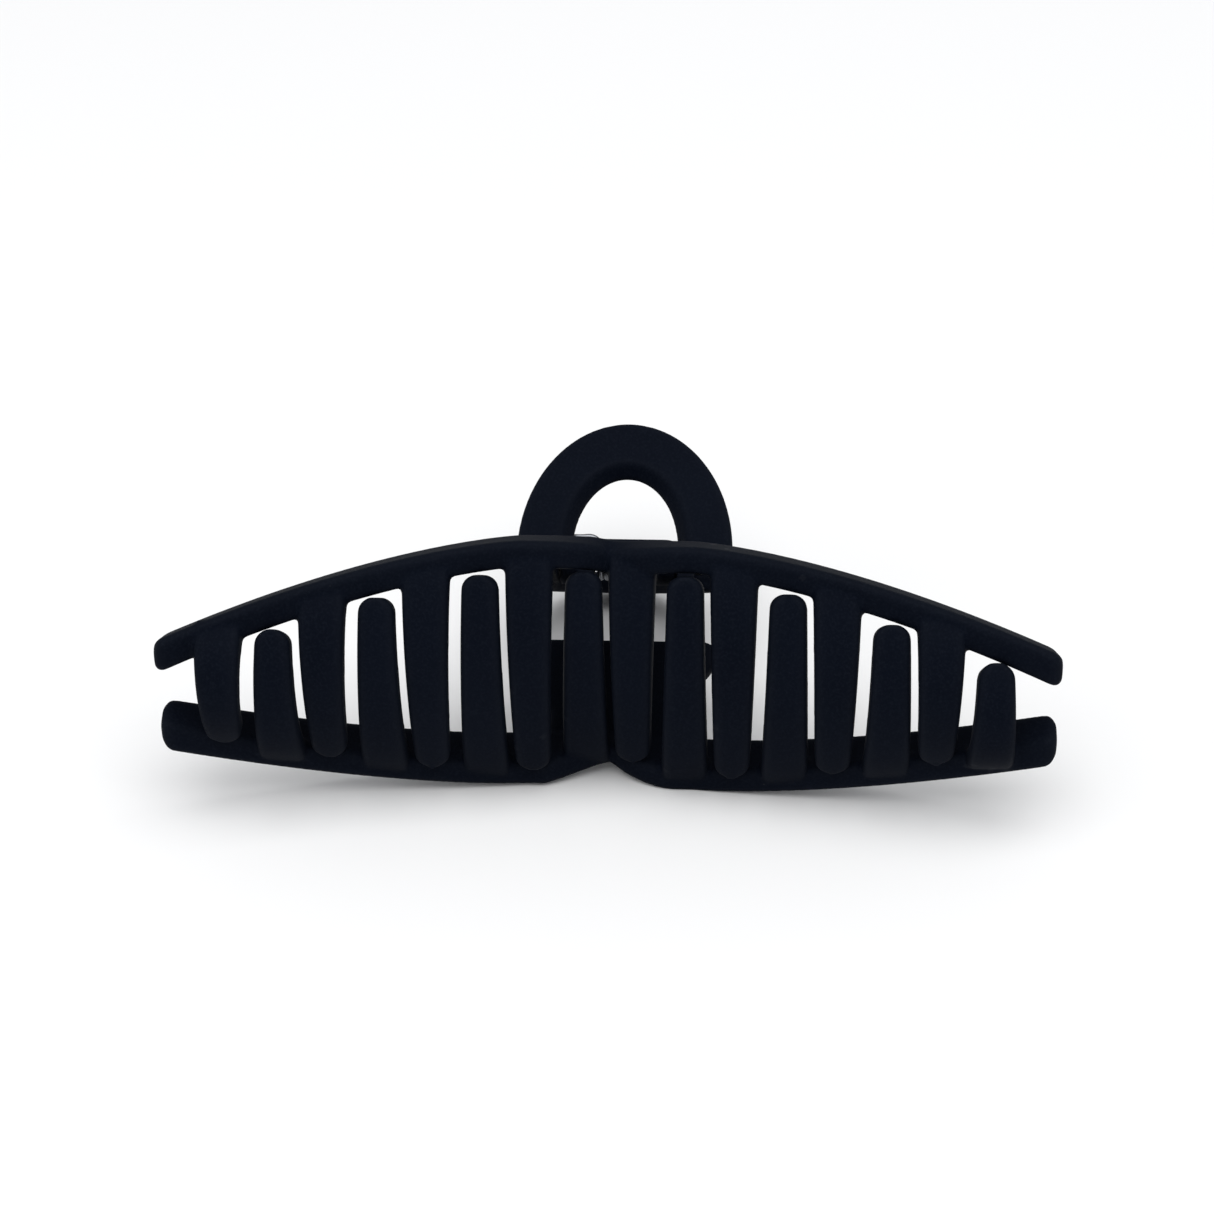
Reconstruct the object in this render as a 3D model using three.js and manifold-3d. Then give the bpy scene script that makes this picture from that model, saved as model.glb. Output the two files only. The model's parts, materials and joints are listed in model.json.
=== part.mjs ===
// A large claw clip for hair: two equal moulded jaws, each with a finger loop, on one sprung pin.
// Millimetres. +X runs along the clip, +Y from the teeth back to the finger loops, +Z is up.
// The clip lies on one side, on the lower rail and the tip of the lower finger loop.

import * as THREE from 'three';
import { mergeVertices } from 'three/addons/utils/BufferGeometryUtils.js';
import Module from 'manifold-3d';

const wasm = await Module();
wasm.setup();

// ---------------------------------------------------------------- driving dimensions

const CLIP_LENGTH = 133.6;        // end to end of a rail
const RAIL_HEIGHT = 3.4;         // front face of a rail, over the crests
const RAIL_END_HEIGHT = 4.5;     // and at its ends
const RAIL_DEPTH = 6.4;          // front to back of a rail, over the crests
const RAIL_END_DEPTH = 4.9;      // and at its ends
const RAIL_SLOPE = 18;           // degrees that a rail's outer face falls towards the hinge
const CREST_HEIGHT = 21.3;       // outer edge of a rail above the clip's middle plane, at its left crest
const CREST_STEP = 0.65;         // how much lower the right crest stands
const STEP_HALF = 3;             // half width of the blend between the two wings
const CREST_OUT = 13;            // crests of the two wings, from the middle
const WING_DROP = 12.3;          // fall of the outer edge from left crest to end
const WING_SHAPE = 1.6;          // exponent of that fall
const RAIL_SETBACK = 33.3;       // front face of a rail ahead of the hinge axis, at the crests
const END_REACH = 10.4;          // how much farther ahead the ends of a rail stand
const GROOVE_DEPTH = 3.4;        // depth of the V groove in the front face, where the wings meet
const GROOVE_HALF = 10;          // half width of the V groove
const GROOVE_FLANKS = [1.8, 1.1]; // exponents of its left and right flanks
const GROOVE_DROP = 2.7;         // fall of the outer edge into the groove
const END_TAPER = 0.62;          // height of a rail's rounded end, as a share of the rail

const TOOTH_COUNT = 8;
const END_TO_TOOTH = 9.6;        // end of a rail to the middle of the nearest tooth
const TOOTH_SHIFT = 4.0;         // teeth of one jaw stand this far off centre, so that the jaws mesh
const TOOTH_ROOT_WIDTH = 6.2;
const TOOTH_TIP_WIDTH = 4.45;
const TOOTH_THICKNESS = 2.4;
const TOOTH_ROOT_IN = 1.6;       // start of a tooth behind the rail's front face
const TOOTH_ROOT_DOWN = 2.0;     // and below its outer edge
const TOOTH_BULGE = 4.0;         // how far a tooth bows forward of its rail
const TIP_GAP = 0.8;             // tip of a tooth to the inner face of the other rail

const PIN_DIAMETER = 1.8;
const PIN_HEAD_DIAMETER = 3.0;
const PIN_HEAD_LENGTH = 0.8;
const LUG_RADIUS = 3.3;
const LUG_WIDTH = 2.7;
const LUG_BOSS = 5.4;            // width of the inner lug's round boss, up to the other jaw's outer lug
const LUG_HEEL = 2.4;            // how far a lug runs back inside its loop
const LUG_SINK = 0.4;            // top of a lug below the loop's outer face
const FIT = 0.3;                 // clearance between neighbouring pieces

const WEB_THICKNESS = 2.6;
const WEB_EDGE_Y = -12.5;         // rear edge of the web between rail and hinge
const WEB_EDGE_Z = 7.6;
const WEB_FRONT_HALF = 9.5;      // half width of the web at the rail
const WEB_REAR_HALF = 15.6;      // half width of the web at its rear edge

const LOOP_TILT = 30;            // degrees of a finger loop above the middle plane
const LOOP_LENGTH = 24.8;        // hinge axis to the tip of the loop
const LOOP_HALF = 17.3;
const LOOP_CENTRE = 0.7;         // widest place of the loop behind the hinge axis
const LOOP_BAND = 7.4;           // width of the loop's flat outer face beside the hole
const LOOP_TIP_BAND = 8.1;       // and behind the hole
const HOLE_DRAFT = 1.5;          // how much the hole narrows towards the inner face
const LOOP_THICKNESS = 3.4;
const LOOP_LIFT = 0.9;           // underside of the loop above the hinge axis
const LOOP_SHIFT = 1.05;         // the loop stands this far off centre
const LOOP_FOOT = 0.9;           // how far the loop's feet reach ahead of its widest place
const HOLE_BACK = 0.9;           // widest place of the hole behind the loop's own

const WIRE = 0.9;
const COIL_RADIUS = 2.2;         // to the middle of the wire
const COIL_TURNS = 6;
const COIL_GAP = 0.12;           // between neighbouring turns
const SPRING_LEG = 5.0;          // hinge axis to the cross bar of a spring leg
const SPRING_BAR_X = 11.5;       // end of a leg's cross bar from the middle

const rad = THREE.MathUtils.degToRad;

// ---------------------------------------------------------------- rails

// How far along its wing x lies, from 0 at the crest to 1 at the end.
const wingShare = x => Math.max(Math.abs(x) - CREST_OUT, 0) / (CLIP_LENGTH / 2 - CREST_OUT);
const railHeight = x => THREE.MathUtils.lerp(RAIL_HEIGHT, RAIL_END_HEIGHT, wingShare(x));
const railDepth = x => THREE.MathUtils.lerp(RAIL_DEPTH, RAIL_END_DEPTH, wingShare(x));
const groove = x => Math.max(1 - Math.abs(x) / GROOVE_HALF, 0) ** GROOVE_FLANKS[x < 0 ? 0 : 1];

// Outer edge of the upper rail above the middle plane, without the groove and with it.
function wingTop(x) {
  const step = CREST_STEP * THREE.MathUtils.smoothstep(x, -STEP_HALF, STEP_HALF);
  return CREST_HEIGHT - step - (WING_DROP - step) * wingShare(x) ** WING_SHAPE;
}
const railTop = x => wingTop(x) - GROOVE_DROP * groove(x);

// Front face of a rail, ahead of the hinge axis, which is Y = 0.
function wingFront(x) {
  const share = wingShare(x);
  return -RAIL_SETBACK - END_REACH * (0.68 * share + 0.32 * share * share);
}
const railFront = x => wingFront(x) + GROOVE_DEPTH * groove(x);

// A closed solid through rings of points, each ring flat, convex and of the same count.
function loft(rings) {
  const size = rings[0].length;
  const positions = rings.flat().flatMap(p => [p.x, p.y, p.z]);
  const index = [];
  for (let k = 0; k + 1 < rings.length; k++) {
    for (let i = 0; i < size; i++) {
      const a = k * size + i, b = k * size + (i + 1) % size;
      index.push(a, b, b + size, a, b + size, a + size);
    }
  }
  const last = (rings.length - 1) * size;
  for (let i = 1; i + 1 < size; i++) {
    index.push(0, i + 1, i, last, last + i, last + i + 1);
  }
  const geometry = new THREE.BufferGeometry();
  geometry.setAttribute('position', new THREE.Float32BufferAttribute(positions, 3));
  geometry.setIndex(index);
  return geometry;
}

// The rail's section at x: a leaning box with upright front and back faces.
function railSection(x, share = 1) {
  const front = railFront(x), top = railTop(x);
  const depth = railDepth(x), height = railHeight(x);
  const back = wingFront(x) + depth, backTop = wingTop(x) - depth * Math.tan(rad(RAIL_SLOPE));
  const trim = height * (1 - share) / 2;
  return [
    new THREE.Vector3(x, front, top - trim),
    new THREE.Vector3(x, front, top - height + trim),
    new THREE.Vector3(x, back, backTop - height + trim),
    new THREE.Vector3(x, back, backTop - trim)
  ];
}

function railGeometry() {
  const half = CLIP_LENGTH / 2;
  const steps = 18;
  const rings = [];
  for (let k = -steps; k <= steps; k++) {
    const share = Math.abs(k) / steps;
    const x = Math.sign(k) * (half - RAIL_HEIGHT / 4) * share ** 1.25;
    rings.push(railSection(x));
  }
  rings.unshift(railSection(-half, END_TAPER));
  rings.push(railSection(half, END_TAPER));
  return loft(rings);
}

// ---------------------------------------------------------------- teeth

const toothPitch = 2 * (CLIP_LENGTH / 2 - END_TO_TOOTH - TOOTH_SHIFT) / (TOOTH_COUNT - 1);
const toothPlaces = Array.from({ length: TOOTH_COUNT },
  (_, i) => toothPitch * (i - (TOOTH_COUNT - 1) / 2) - TOOTH_SHIFT);

// A tooth grows out of the rail, bows forward and ends just short of the other rail.
function toothGeometry(x) {
  const front = railFront(x), top = railTop(x);
  const tipZ = -(railTop(-x) - railHeight(-x) - TIP_GAP);
  const path = new THREE.CubicBezierCurve3(
    new THREE.Vector3(x, front + TOOTH_ROOT_IN, top - TOOTH_ROOT_DOWN),
    new THREE.Vector3(x, front - 1.35 * TOOTH_BULGE, top - 0.28 * (top - tipZ)),
    new THREE.Vector3(x, front - 1.25 * TOOTH_BULGE, top - 0.75 * (top - tipZ)),
    new THREE.Vector3(x, front - 0.4, tipZ)
  );
  const length = path.getLength();
  const tipRadius = TOOTH_TIP_WIDTH / 2;
  const straight = 9, round = 5;
  const stations = [];
  for (let k = 0; k <= straight; k++) stations.push((length - tipRadius) * k / straight);
  for (let k = 1; k <= round; k++) {
    stations.push(length - tipRadius + tipRadius * Math.sin(Math.PI / 2 * k / round * 0.97));
  }
  const rings = stations.map(s => {
    const u = Math.min(s / length, 1);
    const p = path.getPointAt(u), t = path.getTangentAt(u);
    const n = new THREE.Vector3(0, t.z, -t.y);                 // towards the front of the tooth
    const taper = THREE.MathUtils.lerp(TOOTH_ROOT_WIDTH, TOOTH_TIP_WIDTH, Math.min(s / (length - tipRadius), 1));
    const beyond = Math.max(s - (length - tipRadius), 0);
    const w = beyond > 0 ? 2 * Math.sqrt(tipRadius ** 2 - beyond ** 2) : taper;
    const h = TOOTH_THICKNESS / 2;
    const corner = (a, b) => p.clone().addScaledVector(n, a).add(new THREE.Vector3(b, 0, 0));
    const soft = Math.min(0.6, w / 4);
    return [
      corner(h, soft - w / 2), corner(h - soft, -w / 2), corner(-h, -w / 2),
      corner(-h, w / 2), corner(h - soft, w / 2), corner(h, w / 2 - soft)
    ];
  });
  return loft(rings);
}

// ---------------------------------------------------------------- web, lugs and finger loop

function webGeometry() {
  const frontY = -RAIL_SETBACK + RAIL_DEPTH - 0.6;
  const frontZ = CREST_HEIGHT - RAIL_DEPTH * Math.tan(rad(RAIL_SLOPE)) - RAIL_HEIGHT / 2;
  const length = Math.hypot(WEB_EDGE_Y - frontY, frontZ - WEB_EDGE_Z);
  const shape = new THREE.Shape();
  shape.moveTo(-WEB_FRONT_HALF, 0);
  shape.lineTo(WEB_FRONT_HALF, 0);
  shape.quadraticCurveTo(WEB_FRONT_HALF + 0.5, 0.6 * length, WEB_REAR_HALF, 0.8 * length);
  shape.lineTo(WEB_REAR_HALF, length);
  shape.lineTo(-WEB_REAR_HALF, length);
  shape.lineTo(-WEB_REAR_HALF, 0.8 * length);
  shape.quadraticCurveTo(-WEB_FRONT_HALF - 0.5, 0.6 * length, -WEB_FRONT_HALF, 0);
  const geometry = new THREE.ExtrudeGeometry(shape,
    { depth: WEB_THICKNESS, bevelEnabled: false, curveSegments: 6 });
  geometry.translate(0, 0, -WEB_THICKNESS / 2);
  geometry.rotateX(-Math.atan2(frontZ - WEB_EDGE_Z, WEB_EDGE_Y - frontY));
  geometry.translate(0, frontY, frontZ);
  return geometry;
}

// A point of the upper loop's side view, from its distance along the loop and above the hinge axis.
function loopPoint(along, above) {
  const c = Math.cos(rad(LOOP_TILT)), s = Math.sin(rad(LOOP_TILT));
  return [along * c - above * s, along * s + above * c];
}

// A lug and its arm, as a plate across the pin from x to x + LUG_WIDTH.
function lugGeometry(x) {
  const shape = new THREE.Shape();
  const below = rad(248);
  shape.moveTo(WEB_EDGE_Y - 1, WEB_EDGE_Z + 0.75 * WEB_THICKNESS);
  shape.lineTo(WEB_EDGE_Y + 0.6, WEB_EDGE_Z - 0.6 * WEB_THICKNESS);
  shape.lineTo(LUG_RADIUS * Math.cos(below), LUG_RADIUS * Math.sin(below));
  shape.absarc(0, 0, LUG_RADIUS, below, 2 * Math.PI, false);
  shape.lineTo(...loopPoint(LUG_HEEL, LOOP_LIFT + 0.6));
  shape.lineTo(...loopPoint(LUG_HEEL, LOOP_LIFT + LOOP_THICKNESS - LUG_SINK));
  shape.lineTo(...loopPoint(0, LOOP_LIFT + LOOP_THICKNESS - LUG_SINK));
  shape.closePath();
  const geometry = new THREE.ExtrudeGeometry(shape,
    { depth: LUG_WIDTH, bevelEnabled: false, curveSegments: 10 });
  geometry.rotateX(Math.PI / 2);
  geometry.rotateZ(Math.PI / 2);
  return geometry.translate(x, 0, 0);
}

// Places a shape drawn across the clip (x) and along the loop (y) on the loop's tilted plane.
function onLoopPlane(geometry, lift) {
  geometry.translate(LOOP_SHIFT, 0, lift);
  return geometry.rotateX(rad(LOOP_TILT));
}

function loopGeometry() {
  const long = LOOP_LENGTH - LOOP_CENTRE;
  const foot = LOOP_CENTRE - LOOP_FOOT - LOOP_FOOT;
  const shape = new THREE.Shape();
  shape.moveTo(-LOOP_HALF + 0.9, foot);
  shape.lineTo(LOOP_HALF - 0.9, foot);
  shape.lineTo(LOOP_HALF, LOOP_CENTRE);
  shape.absellipse(0, LOOP_CENTRE, LOOP_HALF, long, 0, Math.PI, false);
  shape.closePath();
  const plate = new THREE.ExtrudeGeometry(shape,
    { depth: LOOP_THICKNESS, bevelEnabled: false, curveSegments: 22 });
  const ring = (draft, height) => {
    const hole = new THREE.Path();
    hole.absellipse(0, LOOP_CENTRE + HOLE_BACK,
      LOOP_HALF - LOOP_BAND - draft, long - LOOP_TIP_BAND - HOLE_BACK - draft, 0, 2 * Math.PI, false);
    return hole.getPoints(44).slice(0, -1).map(p => new THREE.Vector3(p.x, p.y, height));
  };
  const opening = loft([
    ring(HOLE_DRAFT, -LOOP_THICKNESS), ring(HOLE_DRAFT, 0.25 * LOOP_THICKNESS),
    ring(0, LOOP_THICKNESS), ring(0, 2 * LOOP_THICKNESS)
  ]);
  return solid(onLoopPlane(plate, LOOP_LIFT)).subtract(solid(onLoopPlane(opening, LOOP_LIFT)));
}

// ---------------------------------------------------------------- solids and meshes

function solid(geometry) {
  const bare = geometry.clone();
  bare.deleteAttribute('normal');
  bare.deleteAttribute('uv');
  const merged = mergeVertices(bare, 1e-4);
  return new wasm.Manifold(new wasm.Mesh({
    numProp: 3,
    vertProperties: new Float32Array(merged.attributes.position.array),
    triVerts: new Uint32Array(merged.index.array)
  }));
}

// A round bar across the clip, from x0 to x1.
function bar(radius, x0, x1) {
  const geometry = new THREE.CylinderGeometry(radius, radius, x1 - x0, 24);
  geometry.rotateZ(Math.PI / 2);
  return geometry.translate((x0 + x1) / 2, 0, 0);
}

function geometryOf(manifold) {
  const { vertProperties, triVerts, numProp } = manifold.getMesh();
  const positions = [];
  for (let i = 0; i < vertProperties.length; i += numProp) positions.push(...vertProperties.slice(i, i + 3));
  const geometry = new THREE.BufferGeometry();
  geometry.setAttribute('position', new THREE.Float32BufferAttribute(positions, 3));
  geometry.setIndex(Array.from(triVerts));
  geometry.computeVertexNormals();
  return geometry;
}

const coilHalf = COIL_TURNS * (WIRE + COIL_GAP) / 2;
const innerLug = coilHalf + WIRE / 2 + FIT;      // the inner lugs flank the coil
const bossEnd = innerLug + LUG_BOSS;
const outerLug = bossEnd + FIT;

// The upper jaw holds the outer lug on its left and the inner lug on its right.
function jawSolid() {
  let jaw = solid(railGeometry());
  for (const x of toothPlaces) jaw = jaw.add(solid(toothGeometry(x)));
  jaw = jaw.add(solid(webGeometry())).add(loopGeometry());
  const gap = LUG_RADIUS + FIT;
  jaw = jaw.subtract(solid(bar(gap, -outerLug, innerLug)));
  jaw = jaw.subtract(solid(bar(gap, bossEnd, outerLug + LUG_WIDTH + FIT)));
  jaw = jaw.add(solid(lugGeometry(-outerLug - LUG_WIDTH))).add(solid(lugGeometry(innerLug)));
  jaw = jaw.add(solid(bar(LUG_RADIUS, innerLug, bossEnd)));
  const reach = outerLug + LUG_WIDTH;
  const headEnd = reach + FIT + PIN_HEAD_LENGTH + FIT;
  for (const [x0, x1] of [[-headEnd, -reach], [reach, headEnd]]) {
    jaw = jaw.subtract(solid(bar(PIN_HEAD_DIAMETER / 2 + FIT, x0, x1)));
  }
  return jaw.subtract(solid(bar(PIN_DIAMETER / 2 + FIT, -reach - 1, reach + 1)));
}

function pinGeometry() {
  const end = outerLug + LUG_WIDTH + FIT;
  const shank = PIN_DIAMETER / 2, head = PIN_HEAD_DIAMETER / 2;
  const profile = [
    [0, -end - PIN_HEAD_LENGTH], [head - 0.3, -end - PIN_HEAD_LENGTH], [head, -end - PIN_HEAD_LENGTH + 0.3],
    [head, -end], [shank, -end], [shank, end], [head, end], [head, end + PIN_HEAD_LENGTH - 0.3],
    [head - 0.3, end + PIN_HEAD_LENGTH], [0, end + PIN_HEAD_LENGTH]
  ].map(([r, x]) => new THREE.Vector2(r, x));
  return new THREE.LatheGeometry(profile, 20).rotateZ(-Math.PI / 2);
}

// One wire: a leg under the upper loop, the coil, and a leg over the lower loop.
function springGeometry() {
  const start = rad(LOOP_TILT + 90), turn = 2 * Math.PI * COIL_TURNS + 2 * Math.PI - 2 * start;
  const points = [];
  const along = rad(LOOP_TILT);
  const under = LOOP_LIFT - FIT - WIRE / 2;
  const leg = (side, distance, x) => new THREE.Vector3(side * x,
    distance * Math.cos(along) - under * Math.sin(along),
    -side * (distance * Math.sin(along) + under * Math.cos(along)));
  points.push(leg(-1, SPRING_LEG, SPRING_BAR_X), leg(-1, SPRING_LEG, coilHalf + 1.2));
  points.push(leg(-1, SPRING_LEG - 1.2, coilHalf));
  const steps = 12 * COIL_TURNS;
  for (let k = 0; k <= steps; k++) {
    const angle = start + turn * k / steps;
    points.push(new THREE.Vector3(-coilHalf + 2 * coilHalf * k / steps,
      COIL_RADIUS * Math.cos(angle), COIL_RADIUS * Math.sin(angle)));
  }
  points.push(leg(1, SPRING_LEG - 1.2, coilHalf), leg(1, SPRING_LEG, coilHalf + 1.2));
  points.push(leg(1, SPRING_LEG, SPRING_BAR_X));
  const path = new THREE.CatmullRomCurve3(points, false, 'centripetal');
  const section = new THREE.Shape();
  section.absarc(0, 0, WIRE / 2, 0, 2 * Math.PI, false);
  return new THREE.ExtrudeGeometry(section,
    { steps: 190, curveSegments: 4, bevelEnabled: false, extrudePath: path });
}

// ---------------------------------------------------------------- assembly

const mattBlack = { color: 0x0d0f14, roughness: 0.62, metalness: 0 };
const springSteel = { color: 0x8c8f94, roughness: 0.3, metalness: 1 };

function piece(name, geometry, look) {
  const mesh = new THREE.Mesh(geometry, new THREE.MeshStandardMaterial(look));
  mesh.name = name;
  return mesh;
}

const clip = new THREE.Group();
const jaw = geometryOf(jawSolid());
const lowerJaw = piece('lower_jaw', jaw.clone(), mattBlack);
lowerJaw.rotation.y = Math.PI;
clip.add(lowerJaw);
clip.add(piece('upper_jaw', jaw, mattBlack));
clip.add(piece('hinge_pin', pinGeometry(), springSteel));
clip.add(piece('torsion_spring', springGeometry(), springSteel));

// The clip leans back until the lower loop's tip meets the surface that the rail lies on.
clip.updateMatrixWorld(true);
function lowest(angle, test) {
  const place = new THREE.Matrix4().makeRotationX(angle).multiply(lowerJaw.matrixWorld);
  const p = new THREE.Vector3(), position = jaw.attributes.position;
  let low = Infinity;
  for (let i = 0; i < position.count; i++) {
    p.fromBufferAttribute(position, i);
    if (test(p)) low = Math.min(low, p.applyMatrix4(place).z);
  }
  return low;
}
let lean = 0;
for (let step = rad(8); step > rad(0.001); step /= 2) {
  if (lowest(-lean, p => p.y > 0) > lowest(-lean, p => p.y < 0)) lean += step;
  else lean -= step;
}
clip.rotation.x = -lean;
clip.updateMatrixWorld(true);
const box = new THREE.Box3().setFromObject(clip, true);
clip.position.set(0, -(box.min.y + box.max.y) / 2, -box.min.z);
clip.updateMatrixWorld(true);

const group = new THREE.Group();
group.name = 'claw_clip';
group.add(clip);
group.updateMatrixWorld(true);

export default group;
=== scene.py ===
# %% [markdown]
# # A large claw clip for hair
# The clip is two equal plastic mouldings, each with a toothed rail, a web, lugs and a finger loop.
# They turn on one steel pin, and a coil spring round the pin keeps the teeth closed. The measured
# model is loaded first, and every visible piece is made to its sizes. The jaws and the pin move
# with their bodies; the spring is attached to neither.

import json
import math

import bmesh
import bpy
import numpy as np
from mathutils import Matrix, Vector


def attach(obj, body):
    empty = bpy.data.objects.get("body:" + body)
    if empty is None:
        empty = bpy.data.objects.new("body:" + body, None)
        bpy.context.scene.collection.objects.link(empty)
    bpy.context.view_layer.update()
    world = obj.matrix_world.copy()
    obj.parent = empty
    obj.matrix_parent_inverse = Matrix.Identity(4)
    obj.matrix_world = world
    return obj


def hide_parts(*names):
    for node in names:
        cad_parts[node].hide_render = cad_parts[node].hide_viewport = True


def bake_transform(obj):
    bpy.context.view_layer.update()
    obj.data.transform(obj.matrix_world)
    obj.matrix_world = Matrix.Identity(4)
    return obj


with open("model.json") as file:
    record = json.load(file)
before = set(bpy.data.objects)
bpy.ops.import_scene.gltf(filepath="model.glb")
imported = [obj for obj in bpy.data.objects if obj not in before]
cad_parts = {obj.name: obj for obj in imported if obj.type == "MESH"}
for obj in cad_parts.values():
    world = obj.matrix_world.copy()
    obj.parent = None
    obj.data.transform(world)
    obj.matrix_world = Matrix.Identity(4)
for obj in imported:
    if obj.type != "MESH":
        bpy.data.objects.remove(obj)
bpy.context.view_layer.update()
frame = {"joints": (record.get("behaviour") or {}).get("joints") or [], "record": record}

# %% [markdown]
# The closed clip lies back a few degrees, on its lower rail and lower loop. Shapes could be drawn
# in that leaning place, but they are simpler to read in the clip's own frame, in millimetres: the
# hinge axis is X, Y runs back to the finger loops, and half a turn about Y swaps the jaws. One
# matrix carries that frame to the floor. Its lean is read from the flat outer face of the upper
# loop, whose tilt in the clip's own frame is known.

# %% The clip's own frame
MM = 0.001
LOOP_TILT = math.radians(30)
FACE_NORMAL = Vector(next(m["axis"] for m in frame["record"]["mounts"]
                          if m["name"] == "upper_loop_outer_face"))
HINGE = Vector(frame["joints"][0]["pos_m"])
LEAN = LOOP_TILT - math.atan2(-FACE_NORMAL.y, FACE_NORMAL.z)
CLIP_TO_FLOOR = (Matrix.Translation(HINGE) @ Matrix.Rotation(-LEAN, 4, "X")
                 @ Matrix.Diagonal((MM, MM, MM, 1)))
HALF_TURN = Matrix.Rotation(math.pi, 4, "Y")
print(f"the clip lies back {math.degrees(LEAN):.2f} degrees about a hinge {HINGE.z / MM:.1f} mm up")

# %% [markdown]
# Moulded plastic has no sharp edges. A Bevel modifier could round them afterwards, but it struggles
# where a section changes along a curve, so each outline is drawn with its rounded corners at once.

# %% Outlines
def rounded(corners, radii, steps=5):
    """Points round a convex outline whose corners are arcs of the given radii."""
    points = []
    count = len(corners)
    for k in range(count):
        here, before, after = (Vector(corners[i % count]) for i in (k, k - 1, k + 1))
        a, b = (before - here).normalized(), (after - here).normalized()
        half = a.angle(b) / 2
        reach = radii[k] / math.tan(half)
        centre = here + (a + b).normalized() * radii[k] / math.sin(half)
        start, end = here + a * reach - centre, here + b * reach - centre
        points += [centre + start.slerp(end, i / steps, start) for i in range(steps + 1)]
    return points


def arc(across, up, start, end, steps):
    """Points on an ellipse about the origin, from one angle to another."""
    return [(across * math.cos(a), up * math.sin(a)) for a in np.linspace(start, end, steps)]


def ring(across, up, corners):
    """Points all the way round an ellipse."""
    return arc(across, up, 0, 2 * math.pi, corners + 1)[:-1]


def clamped(value):
    return min(max(value, 0), 1)


def pulled_in(place, end, radius):
    """How far a rounded end pulls in from the straight side, at a place before the end."""
    into = max(place - (end - radius), 0)
    return radius - math.sqrt(max(radius ** 2 - into ** 2, 0))


square = rounded([(0, 0), (4, 0), (4, 4), (0, 4)], [1] * 4)
print("a square with rounded corners has", len(square), "points")

# %% [markdown]
# A rail, a tooth and a loop are all bars whose section changes on the way. A loft makes them: it
# joins a row of outlines, each with the same number of points, into one closed skin.

# %% Lofts and modifiers
def loft(rings):
    """A closed mesh through rings of 3-D points, capped at both ends."""
    mesh = bmesh.new()
    loops = [[mesh.verts.new(p) for p in points] for points in rings]
    for lower, upper in zip(loops, loops[1:]):
        for i in range(len(lower)):
            j = (i + 1) % len(lower)
            mesh.faces.new((lower[i], lower[j], upper[j], upper[i]))
    mesh.faces.new(reversed(loops[0]))
    mesh.faces.new(loops[-1])
    bmesh.ops.recalc_face_normals(mesh, faces=mesh.faces)
    return mesh


def placed(name, data):
    """An object that shows the data, linked into the scene."""
    obj = bpy.data.objects.new(name, data)
    bpy.context.scene.collection.objects.link(obj)
    return obj


def as_object(mesh, name):
    """Turns an edited mesh into an object."""
    data = bpy.data.meshes.new(name)
    mesh.to_mesh(data)
    mesh.free()
    return placed(name, data)


def applied(obj, kind, **settings):
    """Adds one modifier to a mesh object and applies it."""
    modifier = obj.modifiers.new(kind.title(), kind)
    for key, value in settings.items():
        setattr(modifier, key, value)
    with bpy.context.temp_override(object=obj, active_object=obj, selected_objects=[obj]):
        bpy.ops.object.modifier_apply(modifier=modifier.name)
    return obj


print("helpers ready: loft, placed, as_object, applied")

# %% [markdown]
# The rail is the back of the comb. Seen from the front it is two low wings that meet in a V groove.
# Each wing falls away and sweeps forward to its end. The right crest stands a little lower than the
# left one. The lines could be drawn as curves by hand, but as formulas of x they also tell the
# teeth where to start and where to stop.

# %% The rail's lines
CLIP_LENGTH = 133.6
RAIL_HEIGHT, RAIL_END_HEIGHT = 3.4, 4.5
RAIL_DEPTH, RAIL_END_DEPTH = 6.4, 4.9
RAIL_SLOPE = math.radians(18)            # how steeply the top face falls to the back
CREST_HEIGHT = 21.3
CREST_STEP = 0.65                        # how much lower the right crest stands
STEP_HALF = 3.0                          # half the width over which it steps down
CREST_OUT = 13.0                         # from the middle to a crest
WING_DROP = 12.3                         # from a crest down to the end
WING_SHAPE = 1.6                         # exponent of that fall
RAIL_SETBACK = 33.3                      # from the hinge forward to the crests
END_REACH = 10.4                         # how much further forward the ends are
WING_STRAIGHT = 0.68                     # share of the forward sweep that is straight
GROOVE_DEPTH = 3.4
GROOVE_HALF = 10.0
GROOVE_DROP = 2.7                        # how far the top edge dips in the groove
GROOVE_FLANKS = (1.8, 1.1)               # exponents of its left and right flanks
WING_LENGTH = CLIP_LENGTH / 2 - CREST_OUT


def wing_share(x):
    return max(abs(x) - CREST_OUT, 0) / WING_LENGTH


def groove(x):
    return max(1 - abs(x) / GROOVE_HALF, 0) ** GROOVE_FLANKS[0 if x < 0 else 1]


def wing_top(x):
    t = clamped((x + STEP_HALF) / (2 * STEP_HALF))
    step = CREST_STEP * t * t * (3 - 2 * t)
    return CREST_HEIGHT - step - (WING_DROP - step) * wing_share(x) ** WING_SHAPE


def wing_front(x):
    s = wing_share(x)
    return -RAIL_SETBACK - END_REACH * (WING_STRAIGHT * s + (1 - WING_STRAIGHT) * s * s)


def rail_height(x):
    return RAIL_HEIGHT + (RAIL_END_HEIGHT - RAIL_HEIGHT) * wing_share(x)


def rail_depth(x):
    return RAIL_DEPTH + (RAIL_END_DEPTH - RAIL_DEPTH) * wing_share(x)


def rail_top(x):
    return wing_top(x) - GROOVE_DROP * groove(x)


def rail_front(x):
    return wing_front(x) + GROOVE_DEPTH * groove(x)


print(f"crests {wing_top(-CREST_OUT):.2f} and {wing_top(CREST_OUT):.2f} mm over the hinge,",
      f"ends {wing_top(CLIP_LENGTH / 2):.2f} mm")

# %% [markdown]
# The rail's skin is one section lofted along X. The groove is only in its front face, and both ends
# are rounded off in plan and from the side. The stations stand closer together at the ends, where
# the outline turns fastest, so that the round ends stay round.

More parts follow.
